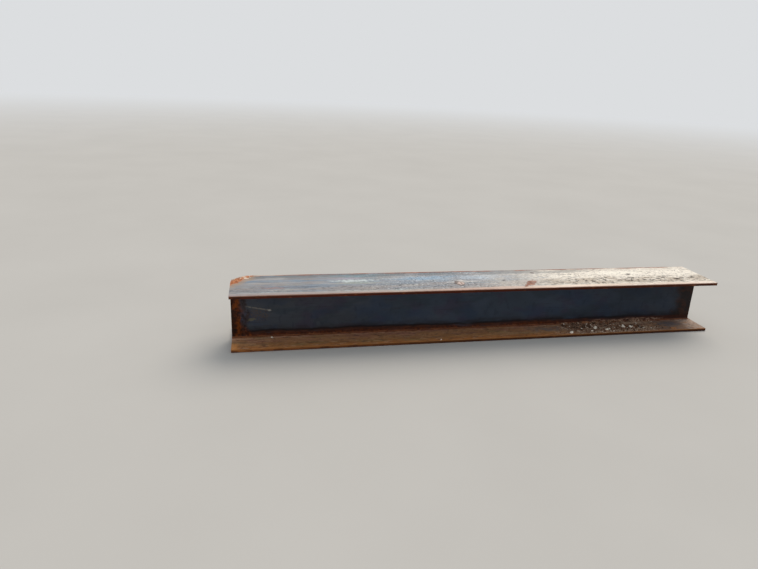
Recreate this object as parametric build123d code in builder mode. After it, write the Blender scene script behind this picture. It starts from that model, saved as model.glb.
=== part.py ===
"""Steel i-beam: one length of hot-rolled wide-flange section, its flanges cut square at both ends.

The beam lies on its bottom flange, as it would on a level floor. X runs along its length, Y across
the flanges and Z up, and the origin is on the floor under the middle of the beam. One corner of the
top flange, at the left end on the far side, is knocked down over a diagonal fold. At the right end the
web is cut a little short of the flanges.

All sizes are in millimetres. The section is nearly square, with flanges and web of one thickness.
"""

from build123d import *
from math import cos, hypot, radians, sin
import os

# Length of the piece and its rolled section
beam_length = 2810.0
section_depth = 312.0
flange_width = 312.0
flange_thickness = 17.4
web_thickness = 17.4
root_radius = 15.2
toe_radius = 2.5

# Knocked-down corner: where its fold starts beside the root, how far it reaches along the toe,
# and how the plate turns down
fold_root_clearance = 7.0
corner_toe_leg = 95.0
corner_turn_angle = 22.0
corner_turn_length = 35.0
corner_nose_width = 6.0
turn_stations = 4

# How far the web stops short of the flanges at the right end, below the top one and above the other
web_gap_top = 24.0
web_gap_bottom = 13.0

# Places that follow from the section
left_end = -beam_length / 2
right_end = beam_length / 2
far_toe = flange_width / 2
top_flange_underside = section_depth - flange_thickness
web_clear_height = section_depth - 2 * flange_thickness
root_reach = web_thickness / 2 + root_radius
channel_width = (flange_width - web_thickness) / 2
channel_middle = (flange_width + web_thickness) / 4

# Places that follow from the folded corner, whose fold line joins the ends of its two legs
corner_end_leg = far_toe - root_reach - fold_root_clearance
fold_length = hypot(corner_end_leg, corner_toe_leg)
flap_length = corner_end_leg * corner_toe_leg / fold_length
nose_travel = flap_length * (1 - corner_nose_width / fold_length)
fold_start = Vector(left_end, far_toe - corner_end_leg, section_depth)
fold_direction = Vector(corner_toe_leg, corner_end_leg, 0) / fold_length
flap_direction = Vector(-corner_end_leg, corner_toe_leg, 0) / fold_length


def flat_station(travel):
    """Return the upright plane across the unbent corner, travel beyond the fold line."""
    return Plane(fold_start + flap_direction * travel, x_dir=fold_direction, z_dir=flap_direction)


def bent_station(travel):
    """Return where the plane across the unbent corner ends up once the corner is bent.

    travel is measured on the plate's top. The plate turns down evenly over corner_turn_length and
    then runs straight on towards its nose.
    """
    full_turn = radians(corner_turn_angle)
    turn_radius = corner_turn_length / full_turn
    turned = min(travel, corner_turn_length) / turn_radius
    straight = max(travel - corner_turn_length, 0.0)
    heading = flap_direction * cos(turned) - Vector(0, 0, sin(turned))
    turn_end = fold_start + flap_direction * (turn_radius * sin(turned))
    turn_end -= Vector(0, 0, turn_radius * (1 - cos(turned)))
    return Plane(turn_end + heading * straight, x_dir=fold_direction, z_dir=heading)


def bent_section(flat_flange, travel):
    """Return the top flange's cross-section beyond the fold line, carried to its bent place."""
    flat_plane = flat_station(travel)
    cut = section(flat_flange, section_by=flat_plane, mode=Mode.PRIVATE)
    flange_cut = cut.faces().sort_by(Axis.Z)[-1]
    return bent_station(travel).location * flat_plane.location.inverse() * flange_cut


# Rolled section: two flanges with rounded toes, and a web with a fillet at each root
with BuildPart() as straight_beam:
    with BuildSketch(Plane.YZ.offset(left_end)) as profile:
        with Locations((0, section_depth / 2)):
            Rectangle(flange_width, section_depth)
            with Locations((-channel_middle, 0), (channel_middle, 0)):
                Rectangle(channel_width, web_clear_height, mode=Mode.SUBTRACT)
        roots = profile.vertices().filter_by(lambda corner: abs(corner.X) < flange_width / 4)
        fillet(roots, root_radius)
        fillet(profile.vertices().group_by(Axis.X)[0], toe_radius)
        fillet(profile.vertices().group_by(Axis.X)[-1], toe_radius)
    extrude(amount=beam_length)

# Knocked-down corner: a turned stretch of plate, and a straight one out to its blunt nose
turn_travels = [corner_turn_length * i / (turn_stations - 1) for i in range(turn_stations)]
with BuildPart() as bent_corner:
    loft([bent_section(straight_beam.part, travel) for travel in turn_travels])
    loft([bent_section(straight_beam.part, travel) for travel in (turn_travels[-1], nose_travel)])

# The whole piece: the top flange cut away beyond the fold line, the bent corner in its place, and
# the web trimmed
with BuildPart() as rolled_beam:
    add(straight_beam.part)
    with BuildSketch(Plane.XY.offset(top_flange_underside)):
        with BuildLine():
            Polyline(
                (left_end, far_toe - corner_end_leg),
                (left_end + corner_toe_leg, far_toe),
                (left_end, far_toe),
                close=True,
            )
        make_face()
    extrude(amount=flange_thickness, mode=Mode.SUBTRACT)
    add(bent_corner.part)
    # The web and its root fillets, cut away between the flanges to a face that leans back
    with BuildSketch(Plane.XZ):
        with BuildLine():
            Polyline(
                (right_end - web_gap_top, top_flange_underside),
                (right_end, top_flange_underside),
                (right_end, flange_thickness),
                (right_end - web_gap_bottom, flange_thickness),
                close=True,
            )
        make_face()
    extrude(amount=root_reach, both=True, mode=Mode.SUBTRACT)

rolled_beam.part.label = "rolled_beam"

os.makedirs("parts", exist_ok=True)
export_step(rolled_beam.part, "parts/rolled_beam.step")
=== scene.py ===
"""Steel i-beam: one length of hot-rolled wide-flange section that has stood outdoors.

The beam lies on its bottom flange. X runs along its length, Y across the flanges and Z up, and the
origin is on the floor under its middle. Sizes are in metres. One corner of the top flange, at the
left end on the far side, is knocked down over a diagonal fold, and at the right end the web is cut
a little short of the flanges.
"""

from __future__ import annotations

import logging
import math
from dataclasses import dataclass, field
from enum import Enum, IntEnum

import bmesh
import bpy
from bmesh.types import BMesh
from bpy.types import ID, Material, Mesh, Node, NodeSocket, NodeTree, Object
from mathutils import Matrix, Vector
from mathutils.geometry import delaunay_2d_cdt

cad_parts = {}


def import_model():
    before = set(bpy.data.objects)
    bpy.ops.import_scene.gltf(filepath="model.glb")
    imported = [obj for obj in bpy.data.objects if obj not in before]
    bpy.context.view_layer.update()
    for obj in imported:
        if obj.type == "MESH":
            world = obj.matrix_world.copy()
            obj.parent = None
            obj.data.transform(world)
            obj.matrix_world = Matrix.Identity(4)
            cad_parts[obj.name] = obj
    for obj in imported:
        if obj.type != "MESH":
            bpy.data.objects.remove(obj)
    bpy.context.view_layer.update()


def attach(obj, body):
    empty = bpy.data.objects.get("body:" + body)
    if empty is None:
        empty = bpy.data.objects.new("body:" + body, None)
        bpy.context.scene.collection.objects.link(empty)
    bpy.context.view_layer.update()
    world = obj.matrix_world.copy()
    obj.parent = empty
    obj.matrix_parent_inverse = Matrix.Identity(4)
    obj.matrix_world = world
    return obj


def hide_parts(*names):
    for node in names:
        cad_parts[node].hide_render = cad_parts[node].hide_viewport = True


LOG = logging.getLogger("steel_i_beam")
MM = 0.001
BEAM_NODE = "rolled_beam"
BEAM_BODY = "root"
BEAM_LENGTH = 2.810
LEFT_END = -BEAM_LENGTH / 2
RIGHT_ANGLE = math.radians(90)
SEED_STEP = 13.7  # moves a pattern far enough along its noise to look unrelated
SPOT_DEPTH = 0.1  # how far a spot of colour reaches through the face that it lies on
FACING = 0.7  # the least share of a face's normal along an axis that makes it face that way

Value = Node | NodeSocket | float


class Skin(IntEnum):
    """The zones of the rolled body, in the order of its material slots."""

    TOP = 0
    TOE = 1
    SHELTERED = 2
    LEDGE = 3
    BASE = 4
    CUT_END = 5


class InputKind(Enum):
    """The kinds of named input that the geometry trees take."""

    NUMBER = "NodeSocketFloat"
    COUNT = "NodeSocketInt"
    FINISH = "NodeSocketMaterial"
    SHAPE = "NodeSocketGeometry"

    @classmethod
    def of(cls, value: float | int | Material) -> InputKind:
        """Return the kind of input that takes a value."""
        number = cls.COUNT if isinstance(value, int) else cls.NUMBER
        return cls.FINISH if isinstance(value, Material) else number


def linear(colour: str) -> tuple[float, float, float, float]:
    """Turn an sRGB colour to the linear values that a shader takes.

    Args:
        colour: Six hex digits, such as "9AA3AC".

    Returns:
        Red, green, blue and an opaque alpha.
    """
    channels = [int(colour[i : i + 2], 16) / 255 for i in (0, 2, 4)]
    red, green, blue = (
        c / 12.92 if c <= 0.04045 else ((c + 0.055) / 1.055) ** 2.4 for c in channels
    )
    return red, green, blue, 1.0


class Graph:
    """A node tree: the way in which nodes are added, and the masks that all trees draw."""

    def __init__(self, tree: NodeTree) -> None:
        """Take the tree."""
        self.tree = tree

    def give(self, node: Node, key: int | str, value: Value | tuple | list) -> None:
        """Set or link one input.

        Args:
            node: The node.
            key: The input's name or number.
            value: A value, a socket, a node whose first output is meant, or a list of nodes for an
                input that takes several.
        """
        for part in value if isinstance(value, list) else [value]:
            source = part.outputs[0] if isinstance(part, Node) else part
            if isinstance(source, NodeSocket):
                self.tree.links.new(source, node.inputs[key])
            else:
                node.inputs[key].default_value = source

    def add(self, kind: str, *feeds, more: dict | None = None, **named) -> Node:
        """Add one node.

        Args:
            kind: The node's type name, for a shader's node without ShaderNode.
            *feeds: What its first inputs get, in order.
            more: What further inputs get, by number.
            **named: Inputs by name, which start with a capital, and the node's own settings.

        Returns:
            The new node.
        """
        node = self.tree.nodes.new(kind if "Node" in kind else "ShaderNode" + kind)
        inputs = {name.replace("_", " "): named.pop(name) for name in [*named] if name[0].isupper()}
        for name, value in named.items():
            setattr(node, name, value)
        for key, value in (*enumerate(feeds), *inputs.items(), *(more or {}).items()):
            self.give(node, key, value)
        return node

    def product(self, *factors: Value) -> Value:
        """Return a product.

        Args:
            *factors: Its factors.
        """
        whole = factors[0]
        for factor in factors[1:]:
            whole = self.add("Math", whole, factor, operation="MULTIPLY")
        return whole

    def beyond(self, value: Value, limit: float, feather: float, low: float = 0.0) -> Node:
        """Return a mask that is full past a limit, with a feather on each side of it."""
        span = (limit - feather, limit + feather, low, 1 - low)
        return self.add("MapRange", value, *span, interpolation_type="SMOOTHSTEP")

    def before(self, value: Value, limit: float, feather: float) -> Node:
        """Return a mask that is full where a value is short of a limit."""
        return self.beyond(value, limit, feather, 1.0)

    def band(self, value: Value, start: float, end: float, feather: float) -> Value:
        """Return a mask that is full between two values."""
        return self.product(self.beyond(value, start, feather), self.before(value, end, feather))

    def tones(self, value: Value, *stops: tuple[float, str]) -> Node:
        """Return colours spread over a value.

        Args:
            value: The value.
            *stops: Pairs of a value and its hex colour.
        """
        node = self.add("ValToRGB", value)
        ramp = node.color_ramp.elements
        while len(ramp) < len(stops):
            ramp.new(0.5)
        for element, (place, colour) in zip(ramp, stops):
            element.position = place
            element.color = linear(colour)
        return node


class FinishTree(Graph):
    """A finish's node tree: the beam's own coordinates, masks drawn in them, and coats of paint."""

    def __init__(self, name: str, specular: float, level: float = 0, upright: bool = False) -> None:
        """Start a material that reads places on the beam.

        Args:
            name: The material's name.
            specular: The shader's specular level.
            level: The height of the face that it is for, or how far behind the near toes it is.
            upright: Whether that face is upright.
        """
        self.material = bpy.data.materials.new(name)
        self.material.use_nodes = True
        super().__init__(self.material.node_tree)
        self.shader = self.tree.nodes["Principled BSDF"]
        self.give(self.shader, "Specular IOR Level", specular)
        self.level, self.upright = level, upright
        self.place = self.add("TexCoord").outputs["Object"]
        split = self.add("SeparateXYZ", self.place).outputs
        self.along = self.add("Math", split["X"], -LEFT_END, operation="ADD")
        near_toe = RolledSection.width / 2
        self.across = self.add("Math", split["Y"], near_toe, operation="ADD")
        self.height = split["Z"]
        self.share = self.add("Math", self.along, BEAM_LENGTH, operation="DIVIDE")

    def noise(
        self, size: float, seed: float = 0.0, stretch: float | tuple = 1, detail: float = 3.0
    ) -> Node:
        """Return plain noise.

        Args:
            size: The width of a blotch.
            seed: Picks the pattern.
            stretch: How many times longer it is along X, or along X, Y and Z.
            detail: How many finer layers it has.
        """
        ways = stretch if isinstance(stretch, tuple) else (stretch, 1, 1)
        scale = tuple(1 / (size * way) for way in ways)
        shift = (seed * SEED_STEP,) * 3
        scaled = self.add("Mapping", self.place, shift, Scale=scale)
        return self.add("TexNoise", Vector=scaled, Scale=1.0, Detail=detail, Roughness=0.55)

    def mottle(self, size: float, low: float, high: float, *pattern) -> Node:
        """Return a mask of blotches, which fade in between two levels of noise."""
        noise = self.noise(size, *pattern)
        return self.add("MapRange", noise, low, high, interpolation_type="SMOOTHSTEP")

    def swayed(self, value: Value, sway: float, size: float, *pattern) -> Node:
        """Return a coordinate whose lines sway, so that what is drawn in it has ragged edges."""
        drift = self.add("MapRange", self.noise(size, *pattern), 0.25, 0.75, -sway, sway)
        return self.add("Math", value, drift, operation="ADD")

    def spot(
        self, x: float, off: float, reach: float, breadth: float, feather: float, sway: float,
        turn: float = 0.0,
    ) -> Node:
        """Return a mask round one place on the face that the finish is for.

        Args:
            x: Its distance from the left end.
            off: Its distance from the near toe line, or on an upright face its height.
            reach: How far it reaches along X.
            breadth: How far it reaches across that.
            feather: The share of its radius over which it fades.
            sway: How ragged its edge is, as a share of its radius.
            turn: How far it is turned about Z, in degrees.
        """
        centre, radii = [x, off, self.level], [reach, breadth, SPOT_DEPTH]
        if self.upright:
            centre[1:], radii[1:] = centre[:0:-1], radii[:0:-1]
        middle = Vector(centre) + Vector((LEFT_END, -RolledSection.width / 2, 0))
        turned = Matrix.Rotation(-math.radians(turn), 3, "Z")
        apart = self.add("VectorMath", self.place, middle, operation="SUBTRACT")
        shares = (
            self.add("VectorMath", apart, tuple(row), operation="DOT_PRODUCT")
            for row in Matrix.Diagonal([1 / r for r in radii]) @ turned
        )
        local = self.add("CombineXYZ", *(share.outputs["Value"] for share in shares))
        away = self.add("VectorMath", local, operation="LENGTH").outputs["Value"]
        fade = feather / 2
        return self.before(self.swayed(away, sway, min(radii)), 1 - fade, fade)

    def spots(self, rows: tuple) -> list[tuple]:
        """Return a coat for each row of a colour, a strength and what spot takes."""
        return [(colour, strength, self.spot(*where)) for colour, strength, *where in rows]

    def paint(self, ground: Value, *coats: tuple) -> Value:
        """Lay coats over a ground colour.

        Args:
            ground: The colour below.
            *coats: The coats, the lowest first. Each is a hex colour or a node, its strength, and
                the masks in whose overlap it lies.

        Returns:
            The colour that is seen.
        """
        seen = ground
        for colour, strength, *masks in coats:
            tint = linear(colour) if isinstance(colour, str) else colour
            cover = self.product(*masks, strength)
            mix = self.add("Mix", cover, more={6: seen, 7: tint}, data_type="RGBA")
            seen = mix.outputs[2]
        return seen

    def dark_places(self, colour: Value, levels: tuple) -> Node:
        """Return the mask of a colour's dark places, which fades between two brightnesses."""
        bright = self.add("RGBToBW", colour)
        return self.add("MapRange", bright, *levels, 1.0, 0.0)

    def finish(
        self, colour: Value, roughness: tuple, grain: Value, heights: list[tuple],
        pits: Value | None = None,
    ) -> Material:
        """Wire the shader.

        Args:
            colour: The base colour.
            roughness: The roughness where the grain is low and where it is high.
            grain: The pattern that the roughness follows.
            heights: Pairs of how high a pattern stands and the pattern.
            pits: The mask of the places that have lost all sheen, if there are any.

        Returns:
            The finished material.
        """
        rough = self.add("MapRange", grain, 0.3, 0.7, *roughness)
        if pits is not None:
            rough = self.add("Mix", pits, more={2: rough, 3: 1.0}, data_type="FLOAT")
        level = 0.0
        for height, pattern in heights:
            level = self.add("Math", pattern, height, level, operation="MULTIPLY_ADD")
        bump = self.add("Bump", Strength=1.0, Distance=1.0, Height=level)
        for key, source in (("Base Color", colour), ("Roughness", rough), ("Normal", bump)):
            self.give(self.shader, key, source)
        return self.material


# Finishes of the beam


@dataclass(frozen=True)
class WeatheredMillScale:
    """Hot-rolled mill scale under the open sky.

    The oxide that forms on the rolls is a hard blue-grey skin with a dull sheen. Rain and traffic
    have rubbed it pale in lengthwise streaks, dust lies on it towards the right end, and it has
    flaked off in specks that show brown rust. The paleness of the right end is partly painted
    glare of the sheen, and painted highlights and glints lie along the arrises and on the scale.
    Its spots are rows of a colour, a strength and what FinishTree.spot takes.
    """

    specular: float = 0.5
    pit_levels: tuple = (0.05, 0.20)
    roughness: tuple = (0.36, 0.62)
    tints: tuple = (
        ("5F8C9C", 0.75, 0.700, 0.268, 0.210, 0.040, 0.9, 0.3),
        ("A399AE", 0.60, 0.620, 0.225, 0.140, 0.022, 0.9, 0.4),
        ("879A88", 0.50, 0.680, 0.155, 0.160, 0.020, 0.9, 0.4),
        ("6B6F78", 0.50, 0.100, 0.070, 0.170, 0.030, 0.9, 0.3),
        ("84A8C4", 0.70, 1.060, 0.200, 0.270, 0.055, 0.9, 0.3),
        ("B9C8D6", 0.60, 1.400, 0.205, 0.170, 0.060, 0.9, 0.3),
        ("8E6C66", 0.60, 0.220, 0.105, 0.100, 0.024, 0.8, 0.4),
        ("C9D3D2", 0.85, 0.655, 0.188, 0.150, 0.026, 0.8, 0.5),
    )
    rust_run: tuple = (
        (0.9, 1.640, 0.075, 0.085, 0.017, 0.5, 0.45, 50),
        (0.8, 1.670, 0.080, 0.060, 0.016, 0.5, 0.40, 52),
        (0.7, 1.668, 0.108, 0.050, 0.012, 0.5, 0.50, 8),
    )
    ring_and_chips: tuple = (
        ("5F4638", 0.70, 1.243, 0.108, 0.036, 0.040, 0.3, 0.35),
        ("C9AFA2", 0.95, 1.249, 0.110, 0.022, 0.030, 0.4, 0.4),
        ("6A5044", 0.80, 1.250, 0.108, 0.005, 0.026, 0.4, 0.4),
        ("D9CFC6", 0.60, 1.262, 0.150, 0.030, 0.018, 0.6, 0.4),
        ("2A1C14", 0.95, 2.340, 0.190, 0.021, 0.014, 0.5, 0.4),
        ("2E1D13", 0.95, 2.602, 0.088, 0.023, 0.015, 0.5, 0.4),
        ("3A3230", 0.80, 1.516, 0.138, 0.015, 0.012, 0.6, 0.4),
        ("5A4A44", 0.80, 1.743, 0.252, 0.020, 0.014, 0.6, 0.4),
        ("54606C", 0.70, 1.320, 0.240, 0.030, 0.010, 0.6, 0.4),
    )

    def material(self, corner: KnockedCorner) -> Material:
        """Build the material.

        Args:
            corner: The bent corner, which is freshly rusted.
        """
        skin = FinishTree("weathered_mill_scale", self.specular, RolledSection.depth)
        # The ground pales from blue-grey to cream towards the right end: dust, and partly painted
        # glare of the sheen.
        ground = skin.tones(
            skin.share, (0.00, "787C81"), (0.16, "788087"), (0.36, "8E969D"), (0.50, "9EA3A8"),
            (0.62, "B8B4AD"), (0.76, "D0C6B6"), (1.00, "CFC6B7"),
        )
        rust = skin.tones(
            skin.noise(0.018, 11, 2), (0.30, "5A3423"), (0.50, "8A4E32"), (0.70, "A8643F")
        )
        colour = skin.paint(
            ground,
            *self.bare_scale(skin),
            *self.dust(skin),
            *self.edges(skin, rust),
            *((rust, strength, skin.spot(*where)) for strength, *where in self.rust_run),
            *skin.spots(self.ring_and_chips),
            *self.corner_rust(skin, corner),
        )
        heights = [
            (0.5 * MM, skin.noise(0.007, 10, 26, 2)),
            (-0.35 * MM, skin.mottle(0.012, 0.52, 0.60, 34, 2)),
            (0.5 * MM, skin.noise(0.005, 35)),
        ]
        pits = skin.dark_places(colour, self.pit_levels)
        return skin.finish(colour, self.roughness, skin.noise(0.03, 33, 3), heights, pits)

    def bare_scale(self, skin: FinishTree) -> list[tuple]:
        """Return the coats of the bare scale: tints, streaks from the rolls, rubbed places, and
        pale flecks painted as glints.

        Args:
            skin: The finish's tree.
        """
        band, mottle, swayed, along = skin.band, skin.mottle, skin.swayed, skin.along
        left = skin.before(swayed(along, 0.15, 0.3, 9), 1.85, 0.35)
        near = skin.before(swayed(skin.across, 0.02, 0.25, 4), 0.125, 0.025)
        line = band(swayed(skin.across, 0.004, 0.1, 16), 0.026, 0.043, 0.005)
        patches = skin.tones(
            skin.noise(0.065, 19, (2.4, 0.8, 1)), (0.34, "64809C"), (0.44, "858E9D"),
            (0.52, "968F92"), (0.60, "8F8C80"), (0.70, "A5968B"),
        )
        streaks = skin.tones(
            skin.noise(0.016, 20, 15), (0.34, "43586E"), (0.44, "8396A6"), (0.52, "80736D"),
            (0.60, "A09C9A"), (0.70, "C6C2BC"),
        )
        return [
            (patches, 0.6, left),
            (streaks, 0.6, left),
            ("94867F", 0.45, near, left, mottle(0.09, 0.36, 0.58, 22, 3)),
            *skin.spots(self.tints),
            ("B4C3C2", 0.7, line, band(along, 0.04, 1.0, 0.15), mottle(0.05, 0.30, 0.50, 17, 4)),
            ("55585D", 0.5, mottle(0.013, 0.50, 0.60, 36, 2), near, left),
            ("4C4845", 0.6, mottle(0.020, 0.54, 0.62, 18, (1.6, 0.9, 1)),
             band(along, 0.52, 2.1, 0.25), near),
            ("515A66", 0.65, mottle(0.013, 0.52, 0.64, 21, 1, 5), band(along, 0.80, 1.85, 0.25)),
            # Pale blue-white flecks painted as glints of the sheen.
            ("DDE6EC", 0.55, mottle(0.013, 0.53, 0.68, 23, 1, 6), band(along, 0.70, 1.9, 0.25)),
        ]

    def dust(self, skin: FinishTree) -> list[tuple]:
        """Return the coats of the dusty right part, whose paleness is partly painted glare, with
        painted glints and a painted highlight, and with its specks in rows on the near side.

        Args:
            skin: The finish's tree.
        """
        mottle, swayed, spot, across = skin.mottle, skin.swayed, skin.spot, skin.across
        dusty = skin.beyond(swayed(skin.along, 0.12, 0.18, 3), 1.72, 0.38)
        rows = skin.product(
            skin.band(swayed(across, 0.035, 0.07, 27, 2), 0.044, 0.146, 0.024),
            mottle(0.03, 0.20, 0.38, 46, 2),
        )
        far = skin.product(
            skin.beyond(swayed(across, 0.02, 0.20, 14), 0.250, 0.022),
            skin.before(swayed(skin.along, 0.10, 0.2, 41), 2.08, 0.12),
        )
        return [
            # Pale dust, partly painted glare of the sheen, and a fine mottle of painted glints over
            # it.
            ("EDE2D2", 0.85, mottle(0.05, 0.28, 0.48, 24, 2), dusty),
            ("FFF6E6", 0.7, mottle(0.011, 0.48, 0.58, 37, (1.8, 1.2, 1)), dusty),
            ("8C8076", 0.65, mottle(0.012, 0.54, 0.62, 25, (1.8, 1.1, 1)), dusty),
            ("9C8870", 0.75, rows, dusty, mottle(0.04, 0.32, 0.54, 38, 2.4)),
            ("8A7860", 0.8, spot(2.30, 0.078, 0.20, 0.044, 0.9, 0.3),
             mottle(0.03, 0.28, 0.48, 2, 2)),
            # A broad painted highlight towards the far side.
            ("FFF8E6", 0.6, spot(2.28, 0.218, 0.26, 0.040, 0.9, 0.3)),
            ("302820", 0.9, mottle(0.018, 0.520, 0.585, 26, (1.3, 0.85, 1), 4), dusty, rows),
            ("6B5D53", 0.8, mottle(0.017, 0.60, 0.66, 28, 1.6), dusty),
            ("5E6468", 0.65, far, mottle(0.06, 0.28, 0.50, 15, 3)),
            ("B7A999", 0.4, skin.beyond(across, 0.262, 0.02), dusty,
             mottle(0.05, 0.30, 0.52, 45, 3)),
        ]

    def edges(self, skin: FinishTree, rust: Value) -> list[tuple]:
        """Return the coats along the two arrises: brown rust, a painted highlight on the far arris
        at the left end, and a pale band along the near arris that is rubbed scale with a painted
        highlight.

        Args:
            skin: The finish's tree.
            rust: The brown of old rust where the scale is gone.
        """
        mottle, swayed, across = skin.mottle, skin.swayed, skin.across
        edge_line = skin.before(swayed(across, 0.002, 0.06, 5), 0.007, 0.004)
        near_highlight_band = skin.before(swayed(across, 0.005, 0.20, 6), 0.036, 0.008)
        far_line = skin.beyond(swayed(across, 0.006, 0.09, 7), 0.296, 0.006)
        far_arris_highlight = skin.beyond(across, 0.304, 0.003)
        rubbed_edge_and_highlight = skin.tones(
            skin.share, (0.0, "A0908F"), (0.20, "A59A94"), (0.33, "B29F92"), (0.42, "BE9A86"),
            (0.55, "CFAE9A"), (0.68, "F4DCC8"), (0.82, "CBB09C"), (1.0, "F0DCCB"),
        )
        return [
            (rust, 0.9, far_line, mottle(0.07, 0.34, 0.48, 29, 3)),
            # A painted highlight along the far arris near the left end.
            ("EBCDB0", 0.85, far_arris_highlight, skin.before(skin.along, 0.30, 0.10),
             mottle(0.03, 0.36, 0.50, 39, 3)),
            # Along the near arris: rubbed scale with a painted highlight over it.
            (rubbed_edge_and_highlight, 0.85, near_highlight_band, mottle(0.05, 0.25, 0.5, 30, 5)),
            (rust, 0.7, edge_line, mottle(0.03, 0.36, 0.52, 31, 4)),
        ]

    def corner_rust(self, skin: FinishTree, corner: KnockedCorner) -> list[tuple]:
        """Return the coats of the bent corner, where the scale has cracked off over orange rust.

        Args:
            skin: The finish's tree.
            corner: The corner.
        """
        ragged = skin.swayed(corner.travel_in(skin), 0.016, 0.035, 8)
        orange = skin.tones(
            skin.noise(0.016, 12), (0.32, "7E3E06"), (0.50, "AE5C10"), (0.68, "CB782A")
        )
        return [
            ("A08264", 0.65, skin.beyond(ragged, -0.050, 0.016)),
            (orange, 0.95, skin.beyond(ragged, -0.022, 0.008)),
            ("F2E4CF", 0.95, skin.mottle(0.017, 0.50, 0.56, 32, 1, 4),
             skin.spot(0.066, 0.290, 0.042, 0.050, 0.4, 0.3)),
        ]


@dataclass(frozen=True)
class RustedToe:
    """The rolled edges of the flanges.

    The scale cracks off the rounded toes first, so they are bare steel under a thin even rust: dark
    red-brown and quite matt. Pale painted highlights lie along the upper arrises of the toes, and
    the foot of the bottom toe is painted dark as shadow.
    """

    specular: float = 0.08
    roughness: tuple = (0.62, 0.85)

    def material(self) -> Material:
        """Build the material."""
        skin = FinishTree("rusted_rolled_toe", self.specular)
        height = skin.height
        low_toe = skin.tones(
            skin.share, (0.0, "A0653A"), (0.16, "7C4A29"), (0.4, "5A361F"), (1.0, "482817")
        )
        high_toe = skin.tones(
            skin.share, (0.0, "54271C"), (0.35, "4E2114"), (0.65, "481E10"), (1.0, "432116")
        )
        colour = skin.paint(
            low_toe,
            (high_toe, 1.0, skin.beyond(height, 0.15, 0.02)),
            ("3C2119", 0.6, skin.mottle(0.014, 0.5, 0.62, 40, 4)),
            ("8E5430", 0.45, skin.mottle(0.010, 0.58, 0.68, 41, 5)),
            # A pale painted highlight along the upper arris of the top toe.
            ("A67F6C", 0.85, skin.beyond(height, 0.3085, 0.0015)),
            # An orange painted highlight along the upper arris of the bottom toe.
            ("A8713F", 0.7, skin.band(height, 0.014, 0.05, 0.0015)),
            # The foot of the bottom toe is painted dark as the shadow under it.
            ("2E211C", 0.7, skin.before(height, 0.003, 0.002)),
        )
        heights = [(0.9 * MM, skin.noise(0.006, 43, 4)), (0.3 * MM, skin.noise(0.0025, 44))]
        return skin.finish(colour, self.roughness, skin.noise(0.008, 42, 3), heights)


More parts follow.
